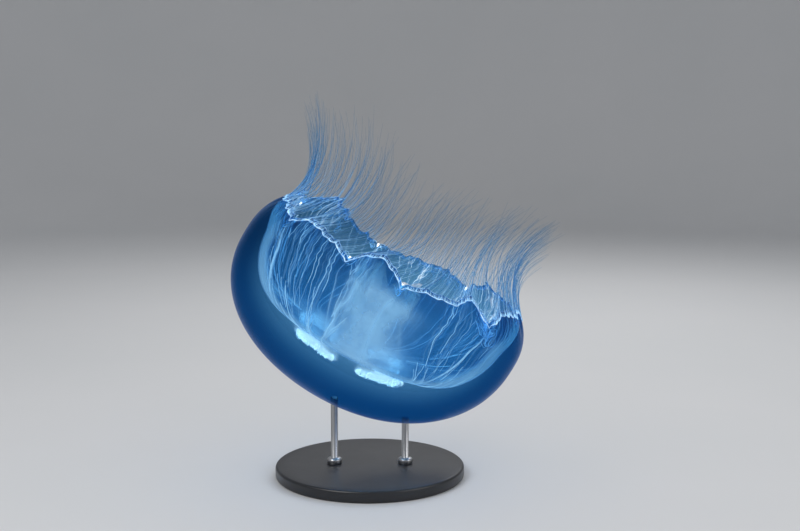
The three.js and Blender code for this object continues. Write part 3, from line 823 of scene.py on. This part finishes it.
node, done = finish_material("bright_edge")
beads, glow_here = noise(node, 330.0, 3.0), point_value(node, "glow")
edge_colour = graded(node, beads, (0.34, 0.64, 0.92), (0.62, 0.84, 0.98), 0.3, 0.7)
bright_edge = tissue(
    node, done, product(node, graded(node, glow_here, 0.10, 0.9), graded(node, beads, 0.6, 1.1, 0.3, 0.7)),
    (0.75, 0.90, 0.99, 1), edge_colour, edge_colour, graded(node, glow_here, 0.0, 0.42), 0.35)
uneven = 0.5 + 0.5 * np.clip(wander(margin_angles, 7, 31, 20, 90), -1, 1)
edge_lines = [near_edge(margin_angles, 0.0002, -0.0004), near_edge(margin_angles, root_back, 0.0001)]
# painted light: the cords glow brightest at the front and fade to under a third of that at the back
painted_front_light = 0.30 + 0.70 * (0.5 + 0.5 * np.cos(margin_angles)) ** 0.7
edge_radii = [0.00026 + 0.00018 * uneven, 0.00030 + 0.00026 * uneven[::-1]]
edge_glows = [(0.42 + 0.38 * uneven) * painted_front_light, (0.55 + 0.45 * uneven[::-1]) * painted_front_light]
curl_draw = np.random.default_rng(40)
curl_radius, small_curls, large_curls = 0.00026, (0.0012, 0.003), (0.0015, 0.004)


def curls(count, angle_from, angle_to, hang, sizes, glow):
    """Small curls of loose tissue that hang inside the edge along a stretch of it."""
    run = np.linspace(0, 1, 14)
    for _ in range(count):
        size = curl_draw.uniform(*sizes)
        bend, side = curl_draw.uniform(0.5, 1.7) * math.pi, curl_draw.choice([-1, 1])
        angle = curl_draw.uniform(angle_from, angle_to) + side * size / 0.1 * np.sin(bend * run)
        back = curl_draw.uniform(-0.0006, hang)
        back = back + size * (1 - np.cos(bend * run)) * curl_draw.choice([-0.5, 1])
        edge_lines.append(near_edge(angle, back, -curl_draw.uniform(0.0004, 0.004)))
        edge_radii.append(curl_radius * np.sin(math.pi * (0.12 + 0.8 * run)))
        edge_glows.append(np.full(len(run), glow * curl_draw.uniform(0.5, 1.1)))


for notch in notches:
    curls(10, notch - 0.05, notch + 0.05, 0.006, small_curls, 0.8)
curls(60, notches[3] - 0.09, notches[3] + 0.10, 0.014, large_curls, 0.75)
curls(110, math.radians(138), math.radians(168), 0.012, large_curls, 0.38)
curls(130, math.radians(206), math.radians(238), 0.016, large_curls, 0.38)
margin = threads_piece("margin_cords", edge_lines, edge_radii, edge_glows, 6, bright_edge)
margin.visible_shadow = False
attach(margin, "root")

node, done = finish_material("sense_organ_glowing_white")
place = node("TexCoord").outputs["Object"]
grains = node("TexVoronoi", Vector=place, Scale=900.0).outputs[0]
organ_colour = graded(node, grains, (0.80, 0.92, 1.0), (1.0, 1.0, 0.96))
# painted light: the sense organs glow white with an emission of their own colour
glowing_sense_white = done(node("BsdfPrincipled", Base_Color=organ_colour, Roughness=0.25,
                        Emission_Color=organ_colour, Emission_Strength=1.2).outputs[0])
organ_radius, organ_half_length, organ_room = 0.0011, 0.0019, (0.0019, 0.0042)
organ_half = organ_half_length * np.array(axis)
ring_angle = np.arange(20) * 2 * math.pi / 20
organ_ring = (np.outer(np.cos(ring_angle), np.cross(np.array(axis), (0, 1, 0)))
              + np.outer(np.sin(ring_angle), (0, 1, 0)))
for k, notch in enumerate(notches):
    depth = min(dome_rim + gap + organ_room[1], margin_depth(notch) + 0.0002)  # in the notch, never past it
    centre = in_room(radius_at(outer_face, depth) - 2 * organ_room[0], depth, notch)
    rows = []
    for t in np.linspace(0, math.pi, 26)[1:-1]:
        girth = 0.9 * math.sin(t) * (1 - 0.45 * smooth(t, 1.2, 2.6)) + 0.10 * math.sin(3 * t) ** 2
        rows.append(centre + organ_radius * girth * organ_ring + math.cos(t) * organ_half)
    organ_points, organ_faces = closed_rows(rows, centre + organ_half, centre - organ_half)
    organ = mesh_piece(f"sense_club_{k + 1}", organ_points, organ_faces, glowing_sense_white)
    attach(organ, "root")
    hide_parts(f"sense_organ_{k + 1}")

# ---------------------------------------------------------------- tentacles
# Some 600 hair-fine threads root along the edge and trail back past the mouth side, drawn in
# at first and then swept out and to the right. Those at the back left are thrown well out.
tentacles_per_radian, tentacle_length, steps = 104, 0.086, 34
bulb_radius, thread_radius, thread_taper, bulb_share = 0.00022, 0.00018, 0.00013, 0.05
stray, lean_stray, curl_stray, sway_size, bulb_glow, thread_glow = 0.06, 0.07, 0.25, 0.05, 0.4, 0.34
root_slope, tip_slope = (-1.0, 0.12, 1.2), (0.44, 0.10, 0.55)
thrown_angle, thrown_spread = math.radians(244), math.radians(36)
drawn_right, drawn_angle, drawn_spread = 1.7, math.radians(-18), math.radians(34)
node, done = finish_material("tentacle_thread")
glow_here = point_value(node, "glow")
thread_colour = graded(node, glow_here, (0.10, 0.28, 0.52), (0.50, 0.80, 1.0), 0.0, 0.7)
tentacle_thread = tissue(
    node, done, product(node, graded(node, glow_here, 0.10, 0.75, 0.0, 0.7),
                        graded(node, noise(node, 500.0, 2.0), 0.7, 1.15, 0.3, 0.7)),
    (0.55, 0.76, 0.91, 1), thread_colour, thread_colour, graded(node, glow_here, 0.0, 0.6), 0.3)
thread_draw = np.random.default_rng(77)
for index in range(8):
    start = notches[index] + math.radians(1.6)
    end = (notches[(index + 1) % 8] + (2 * math.pi if index == 7 else 0)) - math.radians(1.6)
    lines, radii, glows = [], [], []
    count = round((end - start) * tentacles_per_radian)
    for k in range(count):
        angle = start + (end - start) * (k + 0.5 + thread_draw.uniform(-0.3, 0.3)) / count
        from_thrown = math.remainder(angle - thrown_angle, 2 * math.pi)
        thrown = math.exp(-((from_thrown / thrown_spread) ** 2))
        over_edge = [near_edge(np.array([angle]), back, off)[0]
                     for back, off in ((root_back, 0.0002), (root_back / 2, 0.0006), (0.0, 0.0005))]
        length = tentacle_length * (1 + 0.08 * math.sin(7 * k + 3 * index))
        length *= 0.99 - 0.44 * thread_draw.random() ** 1.6
        run = smooth((np.arange(steps) + 0.5) / steps, -0.1, 1.0)
        spread = thread_draw.normal(0, stray)
        outward = root_slope[0] + (tip_slope[0] - root_slope[0]) * run
        outward = outward + (root_slope[2] + (tip_slope[2] - root_slope[2]) * run) * thrown + spread * run
        from_drawn = math.remainder(angle - drawn_angle, 2 * math.pi)
        drawn = drawn_right * math.exp(-((from_drawn / drawn_spread) ** 2))
        right = root_slope[1] + (tip_slope[1] - root_slope[1]) * run + drawn * (1 - run) ** 2.5
        wave = thread_draw.uniform(3, 7)
        sway = sway_size * np.sin(run * wave + thread_draw.uniform(0, 6.3))
        sway += thread_draw.normal(0, lean_stray) * run
        sway += thread_draw.normal(0, curl_stray) * smooth(run, 0.6, 1.0)
        heading = np.stack([outward * math.sin(angle) + right + sway * math.cos(angle),
                            -outward * math.cos(angle) + sway * math.sin(angle), np.ones(steps)], -1)
        heading /= np.linalg.norm(heading, axis=1)[:, None]
        x, y, depth = (heading * length / steps).cumsum(0).T
        swept = np.stack([x * math.cos(lean_over) + depth * math.sin(lean_over), y,
                          -x * math.sin(lean_over) + depth * math.cos(lean_over)], -1)
        line = np.concatenate([over_edge, over_edge[-1] + swept])
        along = np.linspace(0, 1, len(line))
        lines.append(line)
        taper = np.where(along < bulb_share, bulb_radius, thread_radius - thread_taper * along)
        radii.append(taper * thread_draw.uniform(0.8, 1.2))
        root_glow = bulb_glow * np.clip(1 - along / 0.055, 0, 1)
        glows.append(root_glow + thread_glow * (1 - 0.6 * along) * thread_draw.uniform(0.3, 1.4))
    fringe = threads_piece(f"fringe_{index + 1}", lines, radii, glows, 5, tentacle_thread)
    fringe.visible_shadow = False
    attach(fringe, "root")
    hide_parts(f"tentacles_{index + 1}")
